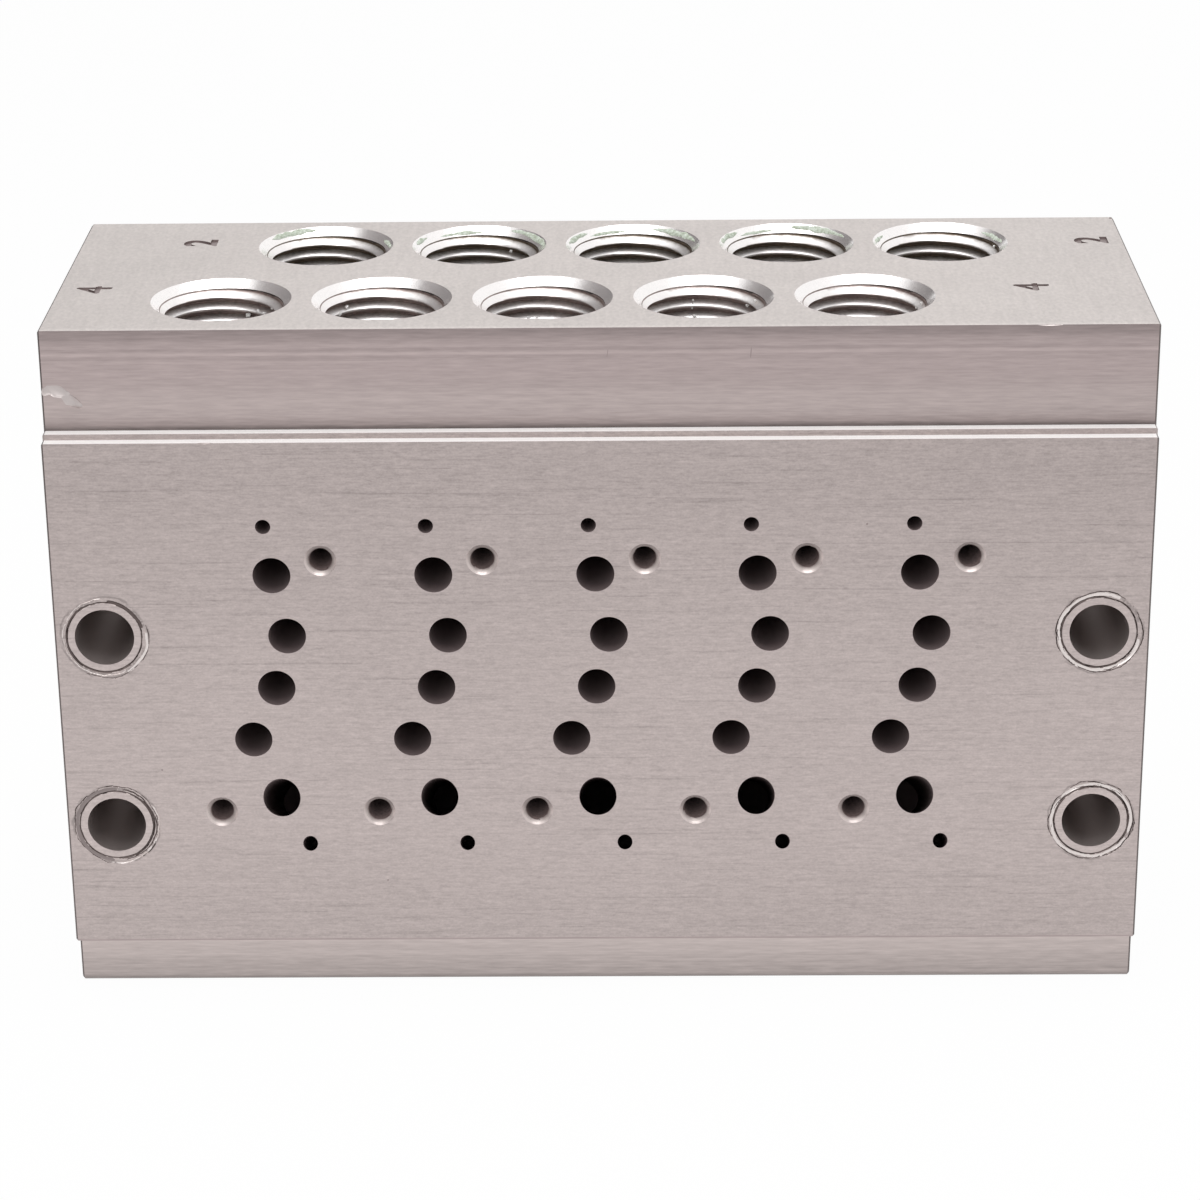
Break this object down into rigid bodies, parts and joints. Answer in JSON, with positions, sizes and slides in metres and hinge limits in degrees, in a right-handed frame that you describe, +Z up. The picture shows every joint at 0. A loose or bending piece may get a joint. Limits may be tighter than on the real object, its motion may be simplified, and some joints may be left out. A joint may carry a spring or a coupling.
{
  "type": "valve manifold block",
  "caption": "Aluminium manifold bar with a row of valve stations on its front face and two rows of threaded ports on top.",
  "frame": {"origin": "middle of the underside's outline", "axes": "+X along the bar, to the right as one faces the valve pad; +Y from the valve pad to the mounting face; +Z up to the threaded ports"},
  "size_m": [0.1156, 0.041, 0.0758],
  "materials": {
    "aluminium": "milled and extruded, bare"
  },
  "bodies": {
    "root": {"manifold_block": "aluminium"}
  },
  "joints": []
}
